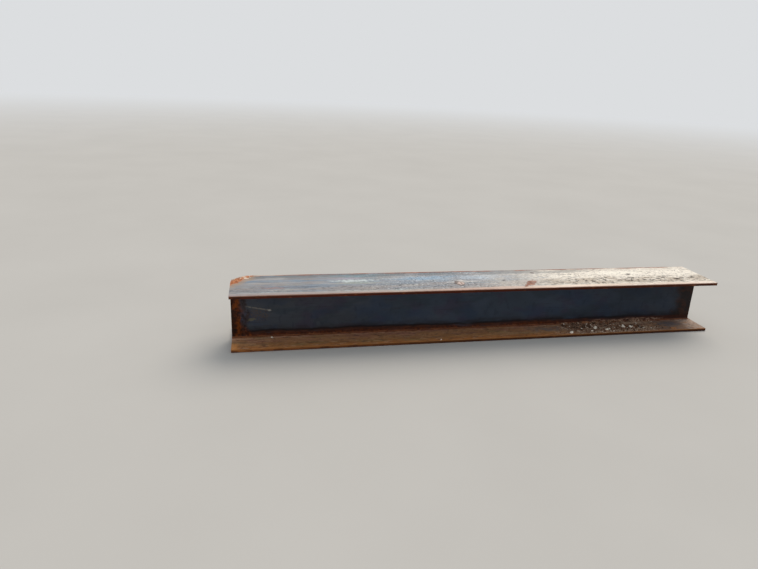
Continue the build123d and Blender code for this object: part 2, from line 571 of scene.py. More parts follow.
@dataclass(frozen=True)
class ShelteredMillScale:
    """Mill scale on the web and under the top flange, out of the rain.

    Here the oxide is still whole: a dark slate blue that is smooth and almost matt, broken by faint
    purple and green tints from the cooling. Rust creeps in from the cut ends and up from the roots.
    A dark band of painted shade lies just above the lower root, and the right end of the web is
    painted dark as its shadow.
    """

    specular: float = 0.12
    roughness: tuple = (0.46, 0.64)
    web_level: float = 0.147
    scratch_slope: float = 0.198  # it falls 26 mm over 133 mm
    scratch_level: float = 0.21055
    scratch_reach: tuple = (0.078, 0.208)

    def material(self) -> Material:
        """Build the material."""
        skin = FinishTree("sheltered_mill_scale", self.specular, self.web_level, upright=True)
        band, mottle, swayed, spot = skin.band, skin.mottle, skin.swayed, skin.spot
        before, beyond, along = skin.before, skin.beyond, skin.along
        near = before(skin.across, 0.15, 0.001)
        ground = skin.tones(
            skin.noise(0.16, 50, 2.2),
            (0.30, "373F4A"), (0.45, "3C4551"), (0.58, "404957"), (0.72, "464C55"),
        )
        rust = skin.tones(
            skin.noise(0.015, 51),
            (0.28, "2C1208"), (0.46, "4A200A"), (0.62, "6A320E"), (0.78, "8A4816"),
        )
        brown = skin.tones(
            skin.noise(0.014, 52, 3), (0.3, "301A12"), (0.5, "4A2818"), (0.7, "5E341E")
        )
        height = swayed(skin.height, 0.007, 0.09, 53, 2)
        from_left = swayed(along, 0.020, 0.06, 54)
        left_strip = before(from_left, 0.044, 0.009)
        from_corner = skin.add("Math", skin.height, from_left, operation="ADD")
        shaded_right_end = beyond(swayed(along, 0.030, 0.08, 55), BEAM_LENGTH - 0.125, 0.05)
        foot = before(height, 0.048, 0.006)
        colour = skin.paint(
            ground,
            ("4A494A", 0.45, near, before(swayed(along, 0.1, 0.15, 101), 0.75, 0.35)),
            ("403648", 0.5, mottle(0.10, 0.50, 0.64, 56, (1.8, 1, 1.2))),
            ("2F3A42", 0.45, mottle(0.09, 0.52, 0.66, 57, 2)),
            ("303E54", 0.45, mottle(0.11, 0.50, 0.64, 74, 1.8)),
            ("484642", 0.5, spot(0.27, 0.255, 0.20, 0.05, 0.9, 0.2), near),
            ("2A313D", 0.35, mottle(0.03, 0.56, 0.70, 58, (1, 1, 1.8))),
            ("564A44", 0.75, spot(0.135, 0.155, 0.090, 0.060, 0.7, 0.3), near,
             mottle(0.008, 0.42, 0.56, 59)),
            ("6E6A50", 0.6, spot(0.102, 0.118, 0.028, 0.012, 0.6, 0.5), near),
            ("36353C", 0.5, mottle(0.005, 0.58, 0.70, 60, 30)),
            ("2C221F", 0.6, before(height, 0.074, 0.016), mottle(0.06, 0.36, 0.56, 73, 3)),
            # A dark band just above the lower root: painted shade.
            ("1A0F0C", 0.8, band(height, 0.044, 0.058, 0.005), mottle(0.06, 0.26, 0.44, 75, 4)),
            (brown, 0.85, foot, mottle(0.05, 0.28, 0.46, 61, 3)),
            (rust, 0.8, before(height, 0.036, 0.005), mottle(0.035, 0.34, 0.5, 62, 4)),
            ("1B2028", 0.4, beyond(along, 2.1, 0.4)),
            # The right end of the web is painted dark as shadow, with a little brown over it.
            ("201613", 0.9, shaded_right_end),
            (brown, 0.35, shaded_right_end, mottle(0.04, 0.46, 0.60, 63)),
            ("3C1A0E", 0.7, foot, beyond(along, 2.45, 0.15)),
            ("9C7C68", 0.7, band(swayed(along, 0.04, 0.1, 77), 2.14, 2.62, 0.05),
             band(height, 0.022, 0.038, 0.004), near, mottle(0.014, 0.42, 0.56, 78, 2)),
            (rust, 0.85, before(from_corner, 0.150, 0.016)),
            (rust, 0.95, left_strip),
            ("7E3F10", 0.8, band(from_left, 0.022, 0.050, 0.009),
             mottle(0.03, 0.42, 0.58, 76, (1, 1, 1.8))),
            ("3A2A26", 0.7, band(from_left, 0.046, 0.088, 0.014), mottle(0.03, 0.36, 0.54, 64)),
            ("1A0F0A", 0.7, before(from_left, 0.016, 0.008)),
            ("1C1410", 0.65, mottle(0.016, 0.50, 0.62, 66), before(from_left, 0.080, 0.02)),
            ("7E7A72", 0.75, self.scratch(skin), near),
            ("A29E96", 0.8, spot(0.200, 0.170, 0.012, 0.006, 0.6, 0.3), near),
        )
        heights = [
            (0.35 * MM, skin.noise(0.012, 68, 5)),
            (0.25 * MM, skin.noise(0.004, 69)),
            (1.4 * MM, skin.product(left_strip, skin.noise(0.007, 70))),
        ]
        return skin.finish(colour, self.roughness, skin.noise(0.05, 67), heights)

    def scratch(self, skin: FinishTree) -> Value:
        """Return the mask of the one long scratch, which slopes down to the right.

        Args:
            skin: The finish's tree.
        """
        down = (skin.along, self.scratch_slope, skin.height)
        fall = skin.add("Math", *down, operation="MULTIPLY_ADD")
        line, level = skin.swayed(fall, 0.0012, 0.02, 71), self.scratch_level
        return skin.product(
            skin.band(line, level - 0.0035, level + 0.0035, 0.0025),
            skin.band(skin.along, *self.scratch_reach, 0.008),
            skin.mottle(0.016, 0.3, 0.5, 72),
        )


@dataclass(frozen=True)
class SettledRust:
    """The upper face of the bottom flange, where water stands.

    Years of wetting have turned the scale to a soft layer of rust: ochre and brown, powdery and
    without any sheen, and orange along the toe. On the near side its colours are painted lighter to
    lift the shade under the top flange, and beside the web they are paler and greyer still.
    """

    specular: float = 0.2
    roughness: tuple = (0.72, 0.92)

    def material(self) -> Material:
        """Build the material."""
        skin = FinishTree("settled_rust", self.specular, RolledSection.plate)
        band, mottle, swayed, spot = skin.band, skin.mottle, skin.swayed, skin.spot
        before, beyond, along = skin.before, skin.beyond, skin.along
        middle = RolledSection.width / 2
        off_middle = skin.add("Math", skin.across, middle, operation="SUBTRACT")
        out = skin.add("Math", off_middle, operation="ABSOLUTE")
        out = swayed(out, 0.008, 0.10, 80, 3)
        near = before(skin.across, middle, 0.001)
        # The ground is painted lighter than the rust is, to lift the shade that the top flange
        # casts on the near ledge.
        ground = skin.tones(
            skin.noise(0.05, 81, 4),
            (0.28, "7C5534"), (0.42, "9C6C42"), (0.56, "AE7B4E"), (0.72, "BE8C5C"),
        )
        soil = skin.tones(
            skin.noise(0.009, 82), (0.32, "4E372B"), (0.48, "957560"), (0.66, "D8BFA6")
        )
        soil_zone = band(swayed(along, 0.16, 0.09, 83), 1.92, 2.50, 0.10)
        # The right end of the ledge, past the top flange's shadow, where sunlight is painted.
        right = beyond(swayed(along, 0.03, 0.1, 84), BEAM_LENGTH - 0.11, 0.03)
        beside_web = before(out, 0.080, 0.035)
        root = beyond(swayed(skin.height, 0.0006, 0.04, 49), 0.0186, 0.001)
        root_rust = skin.tones(
            skin.noise(0.014, 65, 3), (0.3, "4C2816"), (0.5, "6A3A20"), (0.7, "7E4A2C")
        )
        colour = skin.paint(
            ground,
            ("BA7440", 0.45, beyond(out, 0.120, 0.022)),
            ("BC763E", 0.6, beyond(out, 0.140, 0.009), mottle(0.05, 0.36, 0.54, 85, 6)),
            # Beside the web, where that shade is deepest, the colour is painted paler and greyer.
            ("BC8A68", 0.5, beside_web),
            ("A97468", 0.5, mottle(0.05, 0.46, 0.60, 86, 2.6), beside_web),
            ("968658", 0.4, mottle(0.06, 0.52, 0.66, 88, 3), before(along, 1.7, 0.25)),
            ("6A5040", 0.6, mottle(0.014, 0.52, 0.64, 87, 3.5)),
            ("D0A482", 0.5, mottle(0.012, 0.54, 0.66, 89, 3.5)),
            ("E39A58", 0.7, spot(0.010, 0.03, 0.050, 0.07, 0.8, 0.3)),
            ("7E736C", 0.85, spot(1.79, 0.085, 0.16, 0.060, 0.9, 0.4), near,
             mottle(0.016, 0.34, 0.50, 90, 3)),
            (soil, 0.9, soil_zone, mottle(0.04, 0.26, 0.44, 91, 2), near),
            ("77665C", 0.75, band(along, 2.50, 2.72, 0.04), near, mottle(0.03, 0.30, 0.50, 97, 2)),
            ("645E60", 0.8, spot(2.61, 0.092, 0.12, 0.058, 0.7, 0.55), near,
             mottle(0.03, 0.30, 0.50, 99, 2, 5)),
            ("B87A48", 0.85, spot(2.601, 0.026, 0.026, 0.018, 0.5, 0.4), near),
            # Painted sunlight on the right end, with darker grains over it.
            ("A99C92", 0.7, right, mottle(0.03, 0.30, 0.48, 92, 2)),
            ("57463C", 0.6, right, mottle(0.012, 0.53, 0.62, 98, 1.6)),
            ("EADCC4", 0.8, mottle(0.009, 0.62, 0.67, 93), soil_zone, near),
            ("C4A07C", 0.45, spot(1.60, 0.052, 0.17, 0.034, 0.9, 0.3), near,
             mottle(0.02, 0.36, 0.54, 47, 3)),
            ("C6A284", 0.6, spot(2.36, 0.122, 0.26, 0.020, 0.9, 0.4), near,
             mottle(0.010, 0.42, 0.56, 48, 1.5)),
            ("D4A488", 0.6, band(out, 0.022, 0.034, 0.003), near, before(along, 0.55, 0.12),
             mottle(0.02, 0.36, 0.52, 103, 4)),
            (root_rust, 0.9, root),
            # The far ledge gets a darker coat, since only the near side is painted lighter against
            # shade.
            ("5E4030", 0.6, beyond(skin.across, middle, 0.001), mottle(0.06, 0.30, 0.56, 79, 4)),
        )
        heights = [(0.8 * MM, skin.noise(0.014, 95, 3)), (0.6 * MM, skin.noise(0.0045, 96))]
        return skin.finish(colour, self.roughness, skin.noise(0.02, 94), heights)


@dataclass(frozen=True)
class PlainFinish:
    """A finish that is alike all over: tones that follow noise, blotches over them, and bumps.

    ground and grain are what FinishTree.noise takes, and bumps are rows of a height and the same.
    blotches and spots are rows of a colour, a strength and what FinishTree.mottle or spot takes.
    """

    name: str = ""
    specular: float = 0.3
    roughness: tuple = (0.5, 0.9)
    ground: tuple = ()
    stops: tuple = ()
    blotches: tuple = ()
    spots: tuple = ()
    spot_level: float = 0.0
    grain: tuple = ()
    bumps: tuple = ()

    def material(self) -> Material:
        """Build the material."""
        skin = FinishTree(self.name, self.specular, self.spot_level)
        colour = skin.paint(
            skin.tones(skin.noise(*self.ground), *self.stops),
            *((colour, strength, skin.mottle(*size)) for colour, strength, *size in self.blotches),
            *skin.spots(self.spots),
        )
        heights = [(height, skin.noise(*size)) for height, *size in self.bumps]
        return skin.finish(colour, self.roughness, skin.noise(*self.grain), heights)


@dataclass(frozen=True)
class GroundRust(PlainFinish):
    """The beam's underside, which has lain on damp ground: dark, pitted rust with dirt in it."""

    name: str = "ground_rust"
    specular: float = 0.2
    roughness: tuple = (0.8, 0.95)
    ground: tuple = (0.04, 100)
    stops: tuple = ((0.3, "3A271D"), (0.5, "5B3B28"), (0.7, "764C2E"))
    blotches: tuple = (
        ("7A6A58", 0.6, 0.06, 0.52, 0.62, 101),
        ("231A16", 0.6, 0.012, 0.55, 0.64, 102),
    )
    grain: tuple = (0.02, 103)
    bumps: tuple = ((1.2 * MM, 0.008, 104),)


@dataclass(frozen=True)
class FlameCutSteel(PlainFinish):
    """The two ends, cut square with a torch.

    The flame leaves fine upright drag lines, 3 to 4 mm apart, and bare steel that rusts at once:
    dark brown with orange bloom, and a grey heat-tinted rim.
    """

    name: str = "flame_cut_steel"
    roughness: tuple = (0.55, 0.8)
    ground: tuple = (0.035, 111)
    stops: tuple = ((0.30, "553727"), (0.46, "6A432B"), (0.58, "7C4D2E"), (0.72, "925E38"))
    blotches: tuple = (
        ("3A302B", 0.3, 0.004, 0.46, 0.70, 112, (1, 1, 5)),
        ("54423A", 0.5, 0.04, 0.44, 0.58, 117),
        ("6F6B68", 0.5, 0.03, 0.56, 0.66, 113),
        ("BC7A40", 0.6, 0.007, 0.6, 0.68, 114),
    )
    grain: tuple = (0.012, 115)
    bumps: tuple = ((0.9 * MM, 0.0035, 110, (1, 1, 12), 2), (0.3 * MM, 0.003, 116))


@dataclass(frozen=True)
class LooseScale(PlainFinish):
    """Lifted flakes of oxide: thin, brittle, and pale with dust on their upper side."""

    name: str = "loose_mill_scale"
    specular: float = 0.4
    roughness: tuple = (0.5, 0.75)
    ground: tuple = (0.007, 120, 1, 1)
    stops: tuple = ((0.34, "8A5230"), (0.44, "C0926A"), (0.52, "E3D6C2"), (0.70, "F0E8DA"))
    grain: tuple = (0.005, 121)
    bumps: tuple = ((0.3 * MM, 0.002, 122),)


@dataclass(frozen=True)
class DriedSoil(PlainFinish):
    """Soil that washed onto the flange and dried: grey-brown, crumbly and quite matt."""

    name: str = "dried_soil"
    specular: float = 0.15
    roughness: tuple = (0.88, 0.98)
    ground: tuple = (0.009, 130)
    stops: tuple = ((0.28, "432E22"), (0.44, "6E4F3B"), (0.58, "94705A"), (0.74, "CBB096"))
    blotches: tuple = (
        ("9A5E34", 0.5, 0.03, 0.54, 0.64, 131),
        # Dark blotches painted as shade between the lumps.
        ("20150F", 0.7, 0.014, 0.51, 0.59, 135, (1.2, 1.5, 1)),
        ("CBBFA8", 0.7, 0.004, 0.62, 0.68, 132),
    )
    spots: tuple = (("C4A48A", 0.65, 2.38, 0.118, 0.22, 0.030, 0.9, 0.4),)
    spot_level: float = 0.020
    grain: tuple = (0.006, 133)
    bumps: tuple = ((1.0 * MM, 0.004, 134),)


@dataclass(frozen=True)
class ChalkyStone(PlainFinish):
    """Small pale stones of limestone grit: off-white, dusty, with a few darker grains."""

    name: str = "limestone_grit"
    roughness: tuple = (0.75, 0.9)
    ground: tuple = (0.006, 140)
    stops: tuple = ((0.3, "F2E2CC"), (0.5, "FFF2DE"), (0.7, "FFFAF0"))
    blotches: tuple = (("8F806C", 0.35, 0.003, 0.6, 0.68, 141),)
    grain: tuple = (0.004, 142)
    bumps: tuple = ((0.6 * MM, 0.0025, 143),)


# Shapes of the beam and of what lies on it


@dataclass(frozen=True)
class RolledSection:
    """The rolled section: two flanges and a web of one thickness, with rounded toes and roots."""

    depth: float = 0.312
    width: float = 0.312
    plate: float = 17.4 * MM
    root_radius: float = 15.2 * MM
    toe_radius: float = 2.5 * MM
    top_spacing: float = 6.6 * MM
    ledge_spacing: float = 7.6 * MM
    side_spacing: float = 10.0 * MM
    base_spacing: float = 15.0 * MM
    toe_spacing: float = 6.2 * MM
    root_steps: int = 6
    toe_steps: int = 3
    same_place: float = 1e-7

    @staticmethod
    def run(start: tuple, end: tuple, spacing: float) -> list[tuple]:
        """Return points along a straight run, without its end.

        Args:
            start: Where it starts.
            end: Where it ends.
            spacing: The distance between points.
        """
        reach = Vector(end) - Vector(start)
        steps = max(1, round(reach.length / spacing))
        return [tuple(Vector(start) + reach * (i / steps)) for i in range(steps)]

    @staticmethod
    def turn(centre: tuple, radius: float, first: float, last: float, steps: int) -> list[tuple]:
        """Return points along an arc, without its end.

        Args:
            centre: The arc's centre.
            radius: Its radius.
            first: The angle where it starts, in degrees.
            last: The angle where it ends, in degrees.
            steps: How many chords it has.
        """
        x, y = centre
        angles = [math.radians(first + (last - first) * i / steps) for i in range(steps)]
        return [(x + radius * math.cos(a), y + radius * math.sin(a)) for a in angles]

    def outline(self) -> list[tuple]:
        """Return the section's outline as (across, up) points, with the section on its left."""
        half, toe, root, plate, depth = (
            self.width / 2, self.toe_radius, self.root_radius, self.plate, self.depth
        )
        face, flat, under = plate / 2, half - toe, depth - plate
        inner = face + root
        right = (
            self.run((0, 0), (flat, 0), self.base_spacing)
            + self.turn((flat, toe), toe, -90, 0, self.toe_steps)
            + self.run((half, toe), (half, plate - toe), self.toe_spacing)
            + self.turn((flat, plate - toe), toe, 0, 90, self.toe_steps)
            + self.run((flat, plate), (inner, plate), self.ledge_spacing)
            + self.turn((inner, plate + root), root, 270, 180, self.root_steps)
            + self.run((face, plate + root), (face, under - root), self.side_spacing)
            + self.turn((inner, under - root), root, 180, 90, self.root_steps)
            + self.run((inner, under), (flat, under), self.side_spacing)
            + self.turn((flat, under + toe), toe, -90, 0, self.toe_steps)
            + self.run((half, under + toe), (half, depth - toe), self.toe_spacing)
            + self.turn((flat, depth - toe), toe, 0, 90, self.toe_steps)
            + self.run((flat, depth), (0, depth), self.top_spacing)
            + [(0, depth)]
        )
        return right + [(-y, z) for y, z in reversed(right[1:-1])]

    def core(self) -> list[tuple]:
        """Return points along the middle of the plates, which keep the cut faces even."""
        half, plate = self.width / 2, self.plate
        points = []
        for z in (plate / 2, self.depth - plate / 2):
            points += self.run((plate - half, z), (half - plate / 2, z), self.top_spacing)
        return points + self.run((0, 2 * plate), (0, self.depth - plate), self.side_spacing)

    def face(self) -> Mesh:
        """Return the filled section as a flat mesh, with X across and Y up."""
        outline = self.outline()
        count = len(outline)
        ring = [(i, (i + 1) % count) for i in range(count)]
        # A seam runs across each end of the web, so that the web can be trimmed by itself
        inner = self.plate / 2 + self.root_radius
        for level in (self.plate, self.depth - self.plate):
            ends = ((-inner, level), (inner, level))
            ring.append(
                tuple(min(range(count), key=lambda i: math.dist(outline[i], end)) for end in ends)
            )
        points = [Vector(p) for p in outline + self.core()]
        points, _, triangles, *_ = delaunay_2d_cdt(points, ring, [], 1, self.same_place)
        mesh = bpy.data.meshes.new("section_face")
        mesh.from_pydata([(p.x, p.y, 0.0) for p in points], [], triangles)
        return mesh


class ShapeTree(Graph):
    """A geometry tree with named inputs, run once on a mesh to give a plain mesh."""

    def __init__(self, name: str, sizes: object, labels: str, finish: Material) -> None:
        """Start a tree.

        Args:
            name: The tree's name.
            sizes: The object whose sizes the tree's inputs get.
            labels: The names of those sizes, which the inputs bear as well.
            finish: The material that its input Finish gets.
        """
        super().__init__(bpy.data.node_groups.new(name, "GeometryNodeTree"))
        self.tree.is_modifier = True
        face, shape = self.tree.interface, InputKind.SHAPE.value
        face.new_socket(name="Shape", in_out="INPUT", socket_type=shape)
        face.new_socket(name="Shape", in_out="OUTPUT", socket_type=shape)
        self.values = {}
        for label, value in [(n, getattr(sizes, n)) for n in labels.split()] + [("finish", finish)]:
            name, kind = label.replace("_", " ").title(), InputKind.of(value).value
            socket = face.new_socket(name=name, in_out="INPUT", socket_type=kind)
            self.values[socket.identifier] = value
        self.feed = self.add("NodeGroupInput").outputs
        self.where = self.add("GeometryNodeInputPosition")
        self.axes = self.add("SeparateXYZ", self.where).outputs

    def noise(self, size: float, seed: Value, detail: float = 2.0) -> Node:
        """Return noise over the places of the points, with blotches a size wide."""
        return self.add(
            "TexNoise", Vector=self.where, W=seed, Scale=1 / size, Detail=detail,
            noise_dimensions="4D",
        )

    def blotches(
        self, seed: Value, size: float, level: float, fade: float, detail: float = 2.0
    ) -> Node:
        """Return a mask of blotches a size wide, where noise is past a level."""
        return self.beyond(self.noise(size, seed, detail), level, fade)

    def lifted(self, shape: Value, height: Value) -> Node:
        """Return the shape with each point moved along its normal.

        Args:
            shape: The shape.
            height: How far each point moves.
        """
        normal = self.add("GeometryNodeInputNormal")
        rise = self.add("VectorMath", normal, Scale=height, operation="SCALE")
        return self.add("GeometryNodeSetPosition", shape, Offset=rise)

    def lump(self, subdivisions: int, noise: Value, depth: float) -> Node:
        """Return a ball a unit across, dented by noise.

        Args:
            subdivisions: How fine the ball is.
            noise: The noise.
            depth: How deep it dents the ball.
        """
        ball = self.add("GeometryNodeMeshIcoSphere", Radius=0.5, Subdivisions=subdivisions)
        dent = self.add("Math", noise, 0.5, operation="SUBTRACT")
        return self.lifted(ball, self.product(dent, depth))

    def strewn(
        self, body: Value, points: Value, size: Value, tilt: float, facing: Value | None = None
    ) -> Node:
        """Return a body on each point, turned at random. The tree has inputs Flatness and Seed.

        Args:
            body: The body, a unit across.
            points: The points.
            size: How wide it is.
            tilt: How far it tips.
            facing: The way it faces before it is turned.
        """
        low, high = (-tilt, -tilt, -math.pi), (tilt, tilt, math.pi)
        turn = self.add(
            "FunctionNodeRandomValue", low, high, Seed=self.feed["Seed"], data_type="FLOAT_VECTOR"
        )
        if facing:
            turn = self.add(
                "FunctionNodeRotateRotation", facing, Rotate_By=turn, rotation_space="LOCAL"
            )
        flat = self.product(size, self.feed["Flatness"])
        scale = self.add("CombineXYZ", size, size, flat)
        return self.add(
            "GeometryNodeInstanceOnPoints", points, Instance=body, Rotation=turn, Scale=scale
        )

    def run(self, name: str, start: Mesh, shape: Value) -> Mesh:
        """End the tree in real geometry that wears its finish, and run it on a mesh.

        Args:
            name: The name of the mesh that it makes.
            start: The mesh that comes in.
            shape: What the tree makes of it.

        Returns:
            The plain mesh.
        """
        real = self.add("GeometryNodeRealizeInstances", shape)
        worn = self.add("GeometryNodeSetMaterial", real, Material=self.feed["Finish"])
        self.add("NodeGroupOutput", worn)
        carrier = put_in_scene(name, start)
        modifier = carrier.modifiers.new(name, "NODES")
        modifier.node_group = self.tree
        for identifier, value in self.values.items():
            modifier[identifier] = value
        graph = bpy.context.evaluated_depsgraph_get()
        mesh = bpy.data.meshes.new_from_object(
            carrier.evaluated_get(graph), preserve_all_data_layers=True, depsgraph=graph
        )
        bpy.data.objects.remove(carrier)
        mesh.name = name
        return mesh


def put_in_scene(name: str, data: ID) -> Object:
    """Return a new object in the scene.

    Args:
        name: Its name.
        data: The mesh, lamp or camera that it shows.
    """
    thing = bpy.data.objects.new(name, data)
    bpy.context.scene.collection.objects.link(thing)
    return thing


def as_piece(name: str, mesh: Mesh) -> Object:
    """Put a finished mesh in the scene as a piece that moves with the beam.

    Args:
        name: The piece's name.
        mesh: Its mesh, with its place in its points.

    Returns:
        The piece.
    """
    piece = put_in_scene(name, mesh)
    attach(piece, BEAM_BODY)
    mesh.calc_loop_triangles()
    LOG.info("%s: %d triangles", name, len(mesh.loop_triangles))
    return piece


@dataclass
class KnockedCorner:
    """The knocked-down corner of the top flange: its fold line, its turn and its blunt nose."""

    section: RolledSection = RolledSection()
    root_clearance: float = 7.0 * MM
    toe_leg: float = 95.0 * MM
    turn_angle: float = math.radians(22.0)
    turn_length: float = 35.0 * MM
    nose_width: float = 6.0 * MM
    turn_cuts: int = 4
    cut_margin: float = 0.03
    depth_margin: float = 1.5 * MM
    same_place: float = 1e-6

    def __post_init__(self) -> None:
        """Work out the fold line and the directions along and across it."""
        size = self.section
        end_leg = (size.width - size.plate) / 2 - size.root_radius - self.root_clearance
        fold_length = math.hypot(end_leg, self.toe_leg)
        flap = end_leg * self.toe_leg / fold_length
        self.nose_travel = flap * (1 - self.nose_width / fold_length)
        self.fold_start = Vector((LEFT_END, size.width / 2 - end_leg, size.depth))
        self.fold_way = Vector((self.toe_leg, end_leg, 0)) / fold_length
        self.flap_way = Vector((-end_leg, self.toe_leg, 0)) / fold_length
        self.turn_radius = self.turn_length / self.turn_angle

    def travel(self, point: Vector) -> float:
        """Return how far a point of the flat flange lies beyond the fold line."""
        return (point - self.fold_start).dot(self.flap_way)

    def travel_in(self, skin: FinishTree) -> NodeSocket:
        """Return the same distance as a value in a finish.

        Args:
            skin: The finish's tree.
        """
        apart = skin.add("VectorMath", skin.place, self.fold_start, operation="SUBTRACT")
        way = skin.add("VectorMath", apart, self.flap_way, operation="DOT_PRODUCT")
        return way.outputs["Value"]

    def bent(self, point: Vector) -> Vector:
        """Return where a point of the flat flange ends up.

        Args:
            point: Its place before the corner is bent.
        """
        travel = self.travel(point)
        turned = min(travel, self.turn_length) / self.turn_radius
        straight = max(travel - self.turn_length, 0.0)
        sine, cosine, up = math.sin(turned), math.cos(turned), Vector((0, 0, 1))
        beside = self.fold_way * (point - self.fold_start).dot(self.fold_way)
        out = self.flap_way * (self.turn_radius * sine + straight * cosine)
        drop = up * (self.turn_radius * (1 - cosine) + straight * sine)
        below = (self.flap_way * sine + up * cosine) * (self.fold_start.z - point.z)
        return self.fold_start + beside + out - drop - below

    def knock_down(self, shell: BMesh) -> None:
        """Cut the flat shell along the fold, take off the sharp tip, and bend the corner down.

        Args:
            shell: The straight beam.
        """
        floor_of_flange = self.section.depth - self.section.plate - self.depth_margin
        limit = LEFT_END + self.toe_leg + self.cut_margin
        cuts = [self.turn_length * i / (self.turn_cuts - 1) for i in range(self.turn_cuts)]
        for travel in cuts + [self.nose_travel]:
            middles = ((face, face.calc_center_median()) for face in shell.faces)
            faces = [face for face, at in middles if at.z > floor_of_flange and at.x < limit]
            edges = {e for f in faces for e in f.edges}
            points = {v for f in faces for v in f.verts}
            bmesh.ops.bisect_plane(
                shell,
                geom=faces + list(edges) + list(points),
                dist=self.same_place,
                plane_co=self.fold_start + self.flap_way * travel,
                plane_no=self.flap_way,
                clear_outer=travel == self.nose_travel,
            )
        rim = [e for e in shell.edges if e.is_boundary]
        nose = bmesh.ops.edgeloop_fill(shell, edges=rim, mat_nr=int(Skin.TOE))
        bmesh.ops.triangulate(shell, faces=nose["faces"])
        for point in shell.verts:
            if point.co.z > floor_of_flange and self.travel(point.co) > self.same_place:
                point.co = self.bent(point.co)


@dataclass
class RolledBeam:
    """The beam itself: the section carried along its length, with the relief of its skin.

    spalls, nicks and crust are what ShapeTree.blotches takes after the seed. A margin is how far
    inside the edge something starts or stops.
    """

    section: RolledSection = RolledSection()
    corner: KnockedCorner = field(default_factory=KnockedCorner)
    length: float = BEAM_LENGTH
    station_spacing: float = 8.0 * MM
    sink: float = 0.1 * MM
    waviness: float = 0.5 * MM
    spall_depth: float = 0.45 * MM
    crust_height: float = 1.3 * MM
    nick_depth: float = 1.6 * MM
    wave_size: float = 0.34
    wave_levels: tuple = (0.2, 0.75)
    spalls: tuple = (0.034, 0.60, 0.03)
    nicks: tuple = (0.030, 0.66, 0.04, 1.0)
    crust: tuple = (0.016, 0.52, 0.10)
    nick_margin: float = 1.5 * MM
    nick_fade: float = 1.0 * MM
    crust_margin: float = 7 * MM
    crust_fade: float = 2.0 * MM
    crust_band: tuple = (12 * MM, 50 * MM, 4 * MM)
    end_margin: float = 12 * MM
    end_fade: float = 5 * MM
    web_gap_top: float = 24.0 * MM
    web_gap_bottom: float = 13.0 * MM
    trim_reach: float = 0.10
    root_slack: float = 1.6 * MM
    weld: float = 0.02 * MM
    crease: float = math.radians(38)
    seed: float = 4.0

    def sweep(self, finish: Material) -> Mesh:
        """Carry the section along the beam and give its skin relief.

        Args:
            finish: What it wears until its zones are sorted.
        """
        labels = "length station_spacing waviness spall_depth crust_height nick_depth seed"
        shape = ShapeTree("rolled_beam_sweep", self, labels, finish)
        add, feed = shape.add, shape.feed
        first, last = (
            add("CombineXYZ", Z=shape.product(feed["Length"], side)) for side in (-0.5, 0.5)
        )
        line = add("GeometryNodeCurvePrimitiveLine", Start=first, End=last)
        spacing = feed["Station Spacing"]
        stations = add("GeometryNodeResampleCurve", line, Length=spacing, mode="LENGTH")
        sides = add("GeometryNodeInputMeshEdgeNeighbors")
        rim = add("FunctionNodeCompare", more={2: sides, 3: 1}, data_type="INT", operation="EQUAL")
        outline = add("GeometryNodeMeshToCurve", feed["Shape"], Selection=rim)
        swept = add("GeometryNodeCurveToMesh", stations, outline)
        skin = add("GeometryNodeFlipFaces", swept)
        right_cut = add("GeometryNodeTransform", feed["Shape"], Translation=last)
        left_cut = add("GeometryNodeTransform", feed["Shape"], Translation=first)
        left_cut = add("GeometryNodeFlipFaces", left_cut)
        parts = add("GeometryNodeJoinGeometry", [skin, right_cut, left_cut])
        shell = add("GeometryNodeMergeByDistance", parts, Distance=self.weld)
        laid = add("GeometryNodeTransform", shell, Rotation=(RIGHT_ANGLE, 0, RIGHT_ANGLE))
        relief = self.relief(shape)
        return shape.run("weathered_beam", self.section.face(), shape.lifted(laid, relief))

    def relief(self, shape: ShapeTree) -> Value:
        """Return how far the skin stands out: waves, spalled patches and nicks go in, crust out.

        Args:
            shape: The tree that makes the beam.
        """
        axes, half, seed = shape.axes, self.section.width / 2, shape.feed["Seed"]
        side = shape.add("Math", axes["Y"], operation="ABSOLUTE")
        on_toe = shape.beyond(side, half - self.nick_margin, self.nick_fade)
        off_toe = shape.before(side, half - self.crust_margin, self.crust_fade)
        end = BEAM_LENGTH / 2 - self.end_margin
        off_ends = shape.band(axes["X"], -end, end, self.end_fade)
        wave = shape.add("MapRange", shape.noise(self.wave_size, seed, 1.0), *self.wave_levels)
        crust, wet = shape.blotches(seed, *self.crust), shape.band(axes["Z"], *self.crust_band)
        level = -self.sink
        for way, amount, *masks in (
            ("SUBTRACT", "Waviness", wave),
            ("SUBTRACT", "Spall Depth", shape.blotches(seed, *self.spalls)),
            ("SUBTRACT", "Nick Depth", shape.blotches(seed, *self.nicks), on_toe),
            ("ADD", "Crust Height", crust, wet, off_toe, off_ends),
        ):
            height = shape.product(*masks, shape.feed[amount])
            level = shape.add("Math", level, height, operation=way)
        return level

    def trim_web(self, shell: BMesh) -> None:
        """Draw the right end of the web back from the ends of the flanges.

        Args:
            shell: The straight beam.
        """
        size, slack = self.section, self.root_slack
        inner = size.plate / 2 + size.root_radius
        low, high = size.plate, size.depth - size.plate
        first = BEAM_LENGTH / 2 - self.trim_reach
        for point in shell.verts:
            y, z = abs(point.co.y), point.co.z
            on_flange = z < low + self.sink or z > high - self.sink
            at_root_edge = y > inner - slack and (z < low + slack or z > high - slack)
            if point.co.x > first and y < inner + slack and not on_flange and not at_root_edge:
                rise = (z - low) / (high - low)
                gap = self.web_gap_bottom + (self.web_gap_top - self.web_gap_bottom) * rise
                point.co.x -= gap * (point.co.x - first) / self.trim_reach

